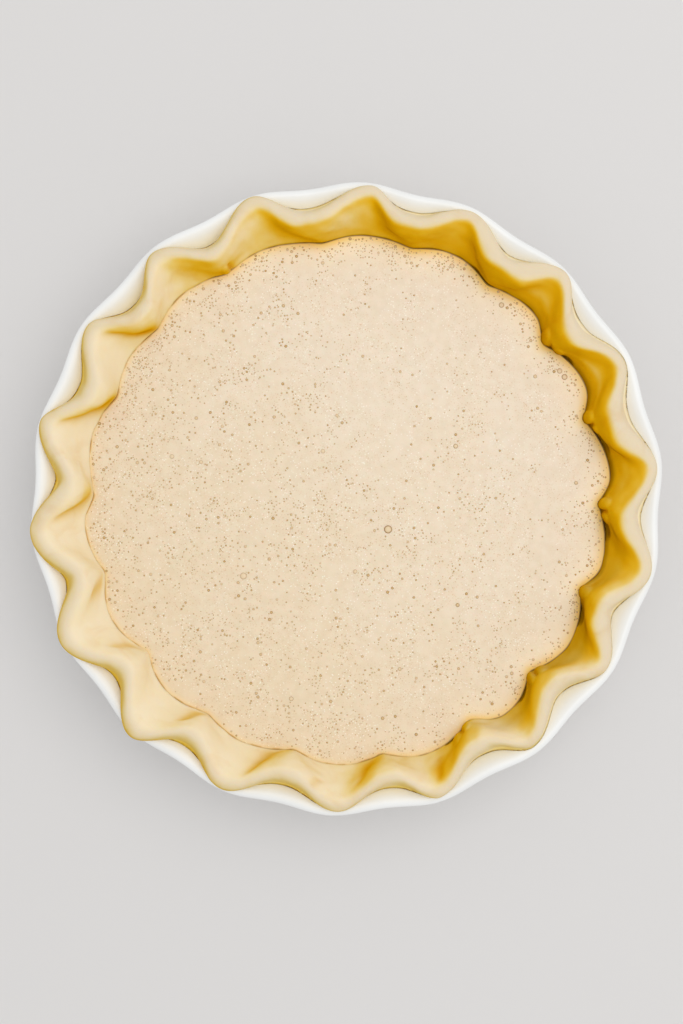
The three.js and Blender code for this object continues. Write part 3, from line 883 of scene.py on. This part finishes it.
def make_custard(material):
    edge = from_middle(CUSTARD_EDGE) + INTO_PASTRY
    radius = lerp(edge, edge.mean(), smoothstep(INWARD, 0, ROUND_FROM)) - INWARD
    rings = clock_points(clock_angle(CUSTARD_EDGE), radius, CUSTARD_LEVEL)
    rings[..., 2] = custard_height(rings.reshape(-1, 3)).reshape(rings.shape[:2])
    rings[..., 2] += CLIMB_HEIGHT * np.exp(-INWARD / CLIMB_WIDTH)
    under = case_inside(TOUCHING_GAP)
    unseen = np.zeros(under.shape[:2])
    looks = {key: np.vstack([unseen, values]) for key, values in custard_looks(rings).items()}
    return closed_stack("custard_filling", np.vstack([under[::-1], rings]),
                        FLOOR_THICKNESS + LINING_LIFT + TOUCHING_GAP, CUSTARD_LEVEL,
                        material, looks)


# ---------------------------------------------------------------- bubbles
LEAST_APART = 1  # between large bubbles
LEAST_GAP = 0.05  # between any others
SPARE = 3  # points for each bubble, as many would overlap others
TRIES = 6000  # points drawn at a time
TRY_RADIUS = 121  # just past the custard's edge
BUBBLE_FREE = 0.9  # no bubble's middle is nearer the custard's edge


def seeded_draw(seed):
    """A plain seeded draw from 0 to 1, the one that places the solid's largest bubbles."""
    state = seed
    while True:
        state = (state * 1664525 + 1013904223) % 4294967296
        yield state / 4294967296


def large_bubbles():
    """The largest bubbles, as (x, y, radius)."""
    draw = seeded_draw(BUBBLE_SEED)
    placed = list(RING_BUBBLES)
    while len(placed) < LARGE_BUBBLES:
        angle = 360 * next(draw)
        from_centre = BUBBLE_FIELD * math.sqrt(next(draw))
        radius = lerp(*LARGE_RADIUS, next(draw) ** 2)
        x, y, _ = clock_points(angle, from_centre, 0)
        if all(math.hypot(x - a, y - b) > c + radius + LEAST_APART for a, b, c in placed):
            placed.append((x, y, radius))
    return placed


def sorted_edge():
    """Clock angles and radii of the custard's edge, in order, for interpolation."""
    angle = clock_angle(CUSTARD_EDGE) % 360
    order = np.argsort(angle)
    angle, radius = angle[order], from_middle(CUSTARD_EDGE)[order]
    return np.append(angle, angle[0] + 360), np.append(radius, radius[0])


def foam_share(points):
    """How thick with bubbles the custard is, from 0 to 1: thick along the wall, most of all on
    the window's side, thin in front of that wall, and thicker again on the far side."""
    angle = clock_angle(points)
    radius = from_middle(points)
    from_edge = np.interp(angle % 360, *sorted_edge()) - radius
    calm = near_angle(angle, 20, 28) * smoothstep(radius, 5, 25)
    by_window = near_angle(angle, 75, 50) * smoothstep(radius, 60, 80)
    open_part = 0.16 + 0.03 * on_side(angle, 230) - 0.12 * np.maximum(calm, by_window)
    wall_part = 0.55 + 0.35 * on_side(angle, 10)
    share = np.clip(lerp(open_part, wall_part, smoothstep(from_edge, 12, 3)), 0.03, 1)
    return share * (from_edge > BUBBLE_FREE)


def scattered(draw, count, spread):
    """Random points of the custard, thick where the foam is. With a spread, points come in
    clusters that wide instead of one by one."""
    points = np.zeros((0, 3))
    while len(points) < count:
        angle = draw.uniform(0, 360, TRIES)
        radius = TRY_RADIUS * np.sqrt(draw.uniform(0, 1, TRIES))
        tries = clock_points(angle, radius, 0)
        tries = tries[draw.uniform(0, 1, TRIES) < foam_share(tries)]
        if spread:
            members = draw.integers(*CLUSTER_SIZE, len(tries))
            tries = np.repeat(tries, members, axis=0)
            tries = tries + draw.normal(0, spread, tries.shape) * [1, 1, 0]
            tries = tries[foam_share(tries) > 0]
        points = np.vstack([points, tries])
    return points


def place_bubbles():
    """Large, medium and small bubbles, as arrays of (x, y, radius) that don't overlap."""
    draw = np.random.default_rng(BUBBLE_SEED)
    placed = np.array(large_bubbles())
    kinds = [placed]
    alone = SMALL_BUBBLES // 3
    for count, (least, most), spread in (
        (MEDIUM_BUBBLES, MEDIUM_RADIUS, None),
        (alone, SMALL_RADIUS, None),
        (SMALL_BUBBLES - alone, SMALL_RADIUS, CLUSTER_SPREAD),
    ):
        start = len(placed)
        for x, y, _ in scattered(draw, count * SPARE, spread):
            if len(placed) - start == count:
                break
            radius = lerp(least, most, draw.uniform() ** 2)
            apart = np.hypot(placed[:, 0] - x, placed[:, 1] - y)
            if np.all(apart > placed[:, 2] + radius + LEAST_GAP):
                placed = np.vstack([placed, [x, y, radius]])
        kinds.append(placed[start:])
    large, medium, *small = kinds
    return large, medium, np.vstack(small)


def make_bubbles(name, bubbles, sides, levels, material):
    """One mesh of low domes that stand in the custard, each closed underneath, with that many
    sides and levels."""
    draw = np.random.default_rng(len(bubbles))
    turns = 360 * np.arange(sides) / sides
    slope = np.radians(np.linspace(0, 90, levels + 1)[:-1])
    reach = np.append(1, np.cos(slope))
    rise = np.append(-BUBBLE_DEPTH, np.sin(slope))
    unit = clock_points(turns, reach[:, None], rise[:, None]).reshape(-1, 3)
    unit = np.vstack([unit, [[0, 0, -BUBBLE_DEPTH], [0, 0, 1]]])
    crown = np.append(np.repeat(np.clip(rise, 0, 1), sides), [0, 1])
    centres = np.column_stack([bubbles[:, :2], np.zeros(len(bubbles))])
    centres[:, 2] = custard_height(centres)
    size = bubbles[:, 2, None, None] * [1, 1, BUBBLE_HEIGHT]
    points = (centres[:, None, :] + unit * size).reshape(-1, 3)
    faces = closed_faces(len(rise), sides)
    all_faces = [
        [corner + i * len(unit) for corner in face] for i in range(len(bubbles)) for face in faces
    ]
    looks = {
        "crown": np.tile(smoothstep(crown, 0.3, 0.85), len(bubbles)),
        "clear": np.repeat(smoothstep(bubbles[:, 2], 0.6, 1.1), len(unit)),
        "faint": np.repeat(0.6 * draw.uniform(0, 1, len(bubbles)), len(unit)),
    }
    return mesh_object(name, points, all_faces, material, looks)


# ---------------------------------------------------------------- the pie
pastry = make_pastry(pastry_material())
dish = make_dish(glaze_material())
custard = make_custard(custard_material())

for piece, node, slot in (
    (dish, "dish", "glazed_ceramic"),
    (pastry, "pastry_case", "raw_pastry"),
    (custard, "custard", "custard"),
):
    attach(piece, "root")
    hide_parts(node)

film = bubble_material()
large, medium, small = place_bubbles()
for piece in (
    make_bubbles("large_bubbles", large, 20, 5, film),
    make_bubbles("medium_bubbles", medium, 12, 3, film),
    make_bubbles("small_bubbles", small, 7, 2, film),
):
    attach(piece, "root")


# ---------------------------------------------------------------- floor, light and camera
def make_floor():
    n = Nodes("pale_floor")
    n.set(Base_Color=(0.69, 0.672, 0.66, 1), Roughness=0.6)
    bpy.ops.mesh.primitive_plane_add(size=STAGE_SIZE)
    floor = bpy.context.object
    floor.name = "floor"
    floor.data.materials.append(n.material)


def make_light():
    world = bpy.data.worlds.new("soft_room")
    bpy.context.scene.world = world
    world.use_nodes = True
    background = world.node_tree.nodes["Background"]
    background.inputs["Color"].default_value = (0.98, 0.99, 1.0, 1)
    background.inputs["Strength"].default_value = ROOM_STRENGTH
    lamp = bpy.data.lights.new("window", "AREA")
    lamp.shape = "RECTANGLE"
    lamp.size, lamp.size_y = LAMP_SIZE
    lamp.energy = LAMP_WATTS
    lamp.color = (1.0, 0.985, 0.96)
    window = bpy.data.objects.new("window", lamp)
    towards = Vector(window_direction(LAMP_HEIGHT))
    window.location = towards * LAMP_DISTANCE
    window.rotation_mode = "QUATERNION"
    window.rotation_quaternion = towards.to_track_quat("Z", "Y")
    bpy.context.scene.collection.objects.link(window)


def make_camera():
    camera = bpy.data.objects.new("camera", bpy.data.cameras.new("camera"))
    camera.data.lens = CAMERA_LENS
    camera.data.sensor_width = CAMERA_SENSOR
    camera.data.sensor_fit = "AUTO"
    distance = PICTURE_HEIGHT * LIP_PIXEL * CAMERA_LENS / CAMERA_SENSOR
    camera.location = (CAMERA_X * MM, CAMERA_Y * MM, (DISH_HEIGHT + distance) * MM)
    bpy.context.scene.collection.objects.link(camera)
    bpy.context.scene.camera = camera


make_floor()
make_light()
make_camera()
bpy.context.scene.view_settings.view_transform = "Standard"
